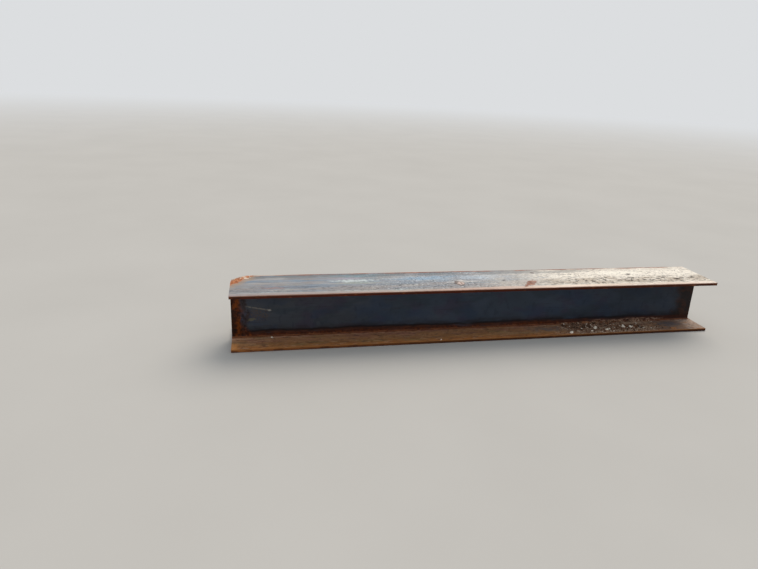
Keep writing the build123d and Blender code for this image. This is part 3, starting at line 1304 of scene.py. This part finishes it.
    def sort_skins(self, shell: BMesh) -> None:
        """Give each face of the straight beam its zone.

        Args:
            shell: The straight beam.
        """
        size = self.section
        for face in shell.faces:
            normal, centre = face.normal, face.calc_center_median()
            if abs(normal.x) > FACING:
                zone = Skin.CUT_END
            elif abs(centre.y) > size.width / 2 - size.toe_radius:
                zone = Skin.TOE
            elif normal.z > FACING and centre.z > size.depth / 2:
                zone = Skin.TOP
            elif normal.z < -FACING and centre.z < size.plate / 2:
                zone = Skin.BASE
            else:
                zone = Skin.LEDGE if normal.z > 0.5 else Skin.SHELTERED
            face.material_index = int(zone)

    def build(self) -> Object:
        """Build and dress the beam, which stands for the CAD node."""
        finishes = {
            Skin.TOP: WeatheredMillScale().material(self.corner),
            Skin.TOE: RustedToe().material(),
            Skin.SHELTERED: ShelteredMillScale().material(),
            Skin.LEDGE: SettledRust().material(),
            Skin.BASE: GroundRust().material(),
            Skin.CUT_END: FlameCutSteel().material(),
        }
        mesh = self.sweep(finishes[Skin.SHELTERED])
        shell = bmesh.new()
        shell.from_mesh(mesh)
        bmesh.ops.recalc_face_normals(shell, faces=shell.faces)
        self.sort_skins(shell)
        self.trim_web(shell)
        self.corner.knock_down(shell)
        bmesh.ops.recalc_face_normals(shell, faces=shell.faces)
        for face in shell.faces:
            face.smooth = True
        for edge in shell.edges:
            edge.smooth = edge.calc_face_angle(0.0) < self.crease
        mesh.materials.clear()
        for zone in Skin:
            mesh.materials.append(finishes[zone])
        shell.to_mesh(mesh)
        shell.free()
        piece = as_piece("weathered_beam", mesh)
        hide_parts(BEAM_NODE)
        return piece


@dataclass(frozen=True)
class Patch:
    """Part of the beam's skin, on which loose things lie: its zones and two opposite corners."""

    zones: tuple
    low: tuple
    high: tuple

    def cut(self, beam: Object) -> Mesh:
        """Return a copy of that part of the finished beam.

        Args:
            beam: The finished beam.
        """
        part = bmesh.new()
        part.from_mesh(beam.data)
        unwanted = []
        for face in part.faces:
            middle = face.calc_center_median()
            within = all(a <= c <= b for a, c, b in zip(self.low, middle, self.high))
            if face.material_index not in self.zones or not within:
                unwanted.append(face)
        bmesh.ops.delete(part, geom=unwanted, context="FACES")
        mesh = bpy.data.meshes.new("patch")
        part.to_mesh(mesh)
        part.free()
        return mesh


@dataclass(frozen=True)
class Scatter:
    """Loose grains or flakes strewn over a patch of the beam.

    A grain is drawn a unit across and dented by noise, or it is a curled flake a unit long.
    """

    name: str
    per_square_metre: float
    smallest: float
    largest: float
    flatness: float = 0.6
    seed: int = 1
    lift: float = 0.2
    clump: float = 0.5
    clump_size: float = 0.05
    clump_fade: float = 0.08
    tilt: float = 0.6
    dent_size: float = 0.8
    dent_depth: float = 0.9
    flakes: bool = False
    flake: tuple = (1.0, 0.72, 0.06)
    flake_curl: float = 0.7
    flake_skew: float = 0.9
    flake_skew_size: float = 0.5
    start: float = LEFT_END
    end: float = -LEFT_END
    thinning: float = 5 * MM

    def grain(self, shape: ShapeTree) -> Node:
        """Return one grain a unit across: a lump of twenty faces, or a thin curled flake.

        Args:
            shape: The tree that strews it.
        """
        x = shape.axes["X"]
        if not self.flakes:
            return shape.lump(1, shape.noise(self.dent_size, self.seed, 0.0), self.dent_depth)
        cuts = {"Vertices_X": 4, "Vertices_Y": 3, "Vertices_Z": 2}
        plate = shape.add("GeometryNodeMeshCube", Size=self.flake, **cuts)
        curl = shape.product(x, x, self.flake_curl)
        skew = shape.noise(self.flake_skew_size, self.seed, 0.0)
        skew = shape.product(skew, x, self.flake_skew)
        move = shape.add("CombineXYZ", 0.0, skew, curl)
        return shape.add("GeometryNodeSetPosition", plate, Offset=move)

    def strew(self, patch: Mesh, finish: Material) -> Object:
        """Strew the grains.

        Args:
            patch: Where they lie.
            finish: What they are made of.

        Returns:
            All of them as one piece.
        """
        labels = "per_square_metre smallest largest flatness lift start end seed"
        shape = ShapeTree(self.name + "_scatter", self, labels, finish)
        add, feed = shape.add, shape.feed
        ends = []
        for end, inward in (("Start", self.thinning), ("End", -self.thinning)):
            full = add("Math", feed[end], inward, operation="ADD")
            span = (shape.axes["X"], feed[end], full)
            ends.append(add("MapRange", *span, interpolation_type="SMOOTHSTEP"))
        thick = shape.blotches(self.seed, self.clump_size, self.clump, self.clump_fade)
        density = shape.product(feed["Per Square Metre"], thick, *ends)
        points = add(
            "GeometryNodeDistributePointsOnFaces", feed["Shape"], Density=density, Seed=feed["Seed"]
        ).outputs
        # Small grains are far more common than large ones
        draw = add("FunctionNodeRandomValue", Seed=feed["Seed"]).outputs[1]
        rare = shape.product(draw, draw, draw)
        small, large = feed["Smallest"], feed["Largest"]
        span = add("Math", large, small, operation="SUBTRACT")
        size = add("Math", rare, span, small, operation="MULTIPLY_ADD")
        rise = shape.product(size, feed["Lift"])
        off = add("VectorMath", points["Normal"], Scale=rise, operation="SCALE")
        seats = add("GeometryNodeSetPosition", points["Points"], Offset=off)
        grains = shape.strewn(self.grain(shape), seats, size, self.tilt, points["Rotation"])
        return as_piece(self.name, shape.run(self.name, patch, grains))


@dataclass(frozen=True)
class SoilDrift:
    """The crust of soil that has dried on the near ledge against the web, as a closed mat.

    blobs and lumps are what ShapeTree.blotches takes after the seed. Bands are rows of where they
    start, where they end and how far they fade. The one along the beam is in shares of the length.
    """

    start: float = 0.455
    end: float = 1.155
    thickness: float = 4.5 * MM
    sunk: float = 1.5 * MM
    rim: float = 0.3 * MM
    blobs: tuple = (0.045, 0.40, 0.06, 0.0)
    lumps: tuple = (0.045, 0.47, 0.09, 4.0)
    along: tuple = (0.10, 0.90, 0.09)
    across: tuple = (-0.128, 0.0, 0.018)
    highest: tuple = (0.028, 0.009)
    ridge: tuple = (-0.055, 0.0, 0.045)
    least_pile: float = 0.35
    least_cover: float = 0.03
    weld: float = 0.005 * MM
    seed: float = 7.0

    def lay(self, beam: Object, finish: Material) -> Object:
        """Lay the drift on the beam.

        Args:
            beam: The finished beam.
            finish: The soil's finish.
        """
        shape = ShapeTree("soil_drift", self, "start end thickness sunk rim seed", finish)
        add, feed, axes = shape.add, shape.feed, shape.axes
        fine = add("GeometryNodeSubdivideMesh", feed["Shape"], 1)
        share = add("MapRange", axes["X"], feed["Start"], feed["End"])
        blobs, lumps = (shape.blotches(feed["Seed"], *kind) for kind in (self.blobs, self.lumps))
        extent = shape.product(
            shape.band(share, *self.along),
            shape.band(axes["Y"], *self.across),
            shape.before(axes["Z"], *self.highest),
            blobs,
        )
        bare = add("Math", extent, self.least_cover, operation="LESS_THAN")
        kept = add("GeometryNodeDeleteGeometry", fine, bare, domain="FACE")
        piled = shape.band(axes["Y"], *self.ridge)
        piled = add("Math", piled, self.least_pile, operation="ADD")
        cover = shape.product(extent, lumps, piled, feed["Thickness"])
        height = add("Math", cover, feed["Rim"], operation="ADD")
        base = shape.lifted(kept, shape.product(feed["Sunk"], -1.0))
        raised = add(
            "GeometryNodeExtrudeMesh", base, Offset_Scale=height, Individual=False, mode="FACES"
        )
        below = add("GeometryNodeFlipFaces", base)
        mat = add("GeometryNodeJoinGeometry", [raised, below])
        whole = add("GeometryNodeMergeByDistance", mat, Distance=self.weld)
        zones = (Skin.LEDGE, Skin.SHELTERED)
        patch = Patch(zones, (self.start, -0.150, 0.012), (self.end, -0.004, 0.048))
        return as_piece("soil_drift", shape.run("soil_drift", patch.cut(beam), whole))


@dataclass(frozen=True)
class LedgeStones:
    """The pale stones that lie singly on the near ledge.

    Each is a row of its distances from the left end and from the near toe, and its size.
    """

    stones: tuple = (
        (1.923, 0.022, 0.018),
        (2.060, 0.030, 0.012),
        (2.102, 0.065, 0.018),
        (2.116, 0.082, 0.013),
        (2.163, 0.040, 0.016),
        (2.288, 0.070, 0.020),
        (2.304, 0.092, 0.011),
        (2.337, 0.064, 0.018),
        (0.211, 0.126, 0.011),
        (1.126, 0.007, 0.008),
    )
    flatness: float = 0.62
    lift: float = 0.22
    tilt: float = 0.4
    dents: tuple = (0.9, 3.0, 1.0)
    dent_depth: float = 0.8
    seed: int = 5

    def lay(self, section: RolledSection, finish: Material) -> Object:
        """Lay the stones on the bottom flange.

        Args:
            section: The rolled section.
            finish: The stones' finish.
        """
        seats = bpy.data.meshes.new("stone_seats")
        places = [
            (LEFT_END + along, across - section.width / 2, section.plate + self.lift * size)
            for along, across, size in self.stones
        ]
        seats.from_pydata(places, [], [])
        sizes = seats.attributes.new("stone_size", "FLOAT", "POINT")
        sizes.data.foreach_set("value", [size for *_, size in self.stones])
        shape = ShapeTree("ledge_stones", self, "flatness seed", finish)
        rock = shape.lump(3, shape.noise(*self.dents), self.dent_depth)
        size = shape.add("GeometryNodeInputNamedAttribute", "stone_size", data_type="FLOAT")
        laid = shape.strewn(rock, shape.feed["Shape"], size, self.tilt)
        return as_piece("ledge_stones", shape.run("ledge_stones", seats, laid))


@dataclass(frozen=True)
class LooseMatter:
    """All that lies loose on the beam: scale flakes, soil and stones."""

    near_soil: Patch = Patch((Skin.LEDGE,), (0.295, -0.148, 0), (1.255, -0.010, 0.04))
    ledges: Patch = Patch((Skin.LEDGE,), (-1.385, -0.150, 0), (1.385, 0.150, 0.0224))
    corner: Patch = Patch((Skin.TOP,), (-1.398, 0.03, 0.262), (-1.305, 0.156, 0.307))
    crumbs: Scatter = Scatter(
        "soil_crumbs", 9500.0, 2.4 * MM, 13 * MM, seed=2, clump=0.44,
        start=0.405, end=1.235, thinning=0.26,
    )
    grit: Scatter = Scatter(
        "grit", 1300.0, 2.6 * MM, 9 * MM, seed=3, clump=0.46, start=0.405, end=1.235, thinning=0.26
    )
    rust: Scatter = Scatter("rust_crumbs", 1500.0, 1.6 * MM, 5 * MM, seed=8)
    flakes: Scatter = Scatter(
        "lifted_scale", 15000.0, 5 * MM, 11 * MM, 1.0, seed=6, lift=0.05, clump=0.30, tilt=0.35,
        flakes=True,
    )

    def build(self, section: RolledSection, beam: Object) -> None:
        """Lay everything on the beam.

        Args:
            section: The rolled section.
            beam: The finished beam.
        """
        soil, stone, scale = (kind().material() for kind in (DriedSoil, ChalkyStone, LooseScale))
        SoilDrift().lay(beam, soil)
        near_soil = self.near_soil.cut(beam)
        self.crumbs.strew(near_soil, soil)
        self.grit.strew(near_soil, stone)
        self.rust.strew(self.ledges.cut(beam), soil)
        LedgeStones().lay(section, stone)
        self.flakes.strew(self.corner.cut(beam), scale)


# Studio


@dataclass(frozen=True)
class SoftLamp:
    """One broad lamp far away, which lights the beam and the floor evenly."""

    name: str
    bearing: float
    elevation: float
    spread: float
    strength: float
    colour: str

    def hang(self) -> None:
        """Hang the lamp, whose bearing is measured from behind the beam towards the right."""
        data = bpy.data.lights.new(self.name, "SUN")
        data.angle, data.energy = math.radians(self.spread), self.strength
        data.color = linear(self.colour)[:3]
        lamp = put_in_scene(self.name, data)
        tip, turn = math.radians(90 - self.elevation), math.radians(180 - self.bearing)
        lamp.rotation_euler = (tip, 0.0, turn)


@dataclass(frozen=True)
class Viewpoint:
    """Where the camera stands, and which way it looks."""

    place: tuple = (-1.2316, -2.8720, 1.3653)
    yaw: float = math.radians(12.173)
    pitch: float = math.radians(-19.970)
    roll: float = math.radians(2.778)
    lens: float = 27.07
    sensor: float = 36.0

    def set_up(self) -> None:
        """Make the camera and use it."""
        data = bpy.data.cameras.new("viewpoint")
        data.lens, data.sensor_width, data.sensor_fit = self.lens, self.sensor, "HORIZONTAL"
        camera = put_in_scene("viewpoint", data)
        turn = Matrix.Translation(self.place)
        for angle, axis in ((-self.yaw, "Z"), (RIGHT_ANGLE + self.pitch, "X"), (self.roll, "Z")):
            turn = turn @ Matrix.Rotation(angle, 4, axis)
        camera.matrix_world = turn
        bpy.context.scene.camera = camera


@dataclass(frozen=True)
class Studio:
    """A plain pale floor under soft light, and a pale backdrop."""

    floor_radius: float = 60.0
    floor_sides: int = 96
    floor_roughness: float = 0.9
    floor_specular: float = 0.1
    floor_colours: tuple = ((0.3, "C5C2BD"), (0.7, "C9C6C1"))
    floor_grain: float = 1.1
    backdrop_colour: str = "DCDEE0"
    skylight_colour: str = "EEF4FA"
    skylight: float = 0.62
    fade_start: float = 6.0
    fade_end: float = 30.0
    lamps: tuple = (SoftLamp("key", 40.0, 50.0, 45.0, 1.8, "FFF6EA"),)

    def seen(self, graph: Graph, *kinds: str) -> Value:
        """Return the mask of the rays of some kinds.

        Args:
            graph: The tree that gets it.
            *kinds: The kinds of ray.
        """
        rays = graph.add("LightPath").outputs
        mask = 0.0
        for kind in kinds:
            mask = graph.add("Math", mask, rays[kind], operation="MAXIMUM")
        return mask

    def floor(self) -> None:
        """Lay the floor, which turns to the backdrop's colour far away."""
        disc = bmesh.new()
        bmesh.ops.create_circle(
            disc, cap_ends=True, segments=self.floor_sides, radius=self.floor_radius
        )
        mesh = bpy.data.meshes.new("floor")
        disc.to_mesh(mesh)
        disc.free()
        material = bpy.data.materials.new("pale_studio_floor")
        material.use_nodes = True
        graph = Graph(material.node_tree)
        paper = graph.tree.nodes["Principled BSDF"]
        place = graph.add("TexCoord").outputs["Object"]
        grain = graph.add("TexNoise", Vector=place, Scale=self.floor_grain, Detail=4.0)
        graph.give(paper, "Base Color", graph.tones(grain, *self.floor_colours))
        graph.give(paper, "Roughness", self.floor_roughness)
        graph.give(paper, "Specular IOR Level", self.floor_specular)
        away = graph.add("VectorMath", place, operation="LENGTH").outputs["Value"]
        span = (away, self.fade_start, self.fade_end)
        far = graph.add("MapRange", *span, interpolation_type="SMOOTHSTEP")
        glow = graph.add("Emission", linear(self.backdrop_colour))
        share = graph.product(far, self.seen(graph, "Is Camera Ray", "Is Glossy Ray"))
        blend = graph.add("MixShader", share, paper, glow)
        graph.give(graph.tree.nodes["Material Output"], "Surface", blend)
        mesh.materials.append(material)
        floor = put_in_scene("floor", mesh)

    def sky(self) -> None:
        """Give the world its soft light, and its backdrop colour where it is seen or mirrored."""
        world = bpy.data.worlds.new("studio")
        world.use_nodes = True
        bpy.context.scene.world = world
        graph = Graph(world.node_tree)
        light = graph.tree.nodes["Background"]
        graph.give(light, "Color", linear(self.skylight_colour))
        graph.give(light, "Strength", self.skylight)
        seen = self.seen(graph, "Is Camera Ray", "Is Glossy Ray", "Is Transmission Ray")
        backdrop = graph.add("Background", linear(self.backdrop_colour), 1.0)
        blend = graph.add("MixShader", seen, light, backdrop)
        graph.give(graph.tree.nodes["World Output"], "Surface", blend)

    def set_up(self) -> None:
        """Set up the floor, the world, the lamps and the camera."""
        bpy.context.scene.view_settings.view_transform = "Standard"
        self.floor()
        self.sky()
        for lamp in self.lamps:
            lamp.hang()
        Viewpoint().set_up()


def main() -> None:
    """Build the beam, what lies on it, and the studio; each piece logs its count of triangles."""
    logging.basicConfig(level=logging.INFO, format="%(name)s %(message)s")
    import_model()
    body = RolledBeam()
    beam = body.build()
    LooseMatter().build(body.section, beam)
    Studio().set_up()
    bpy.context.view_layer.update()


if __name__ == "__main__":
    main()
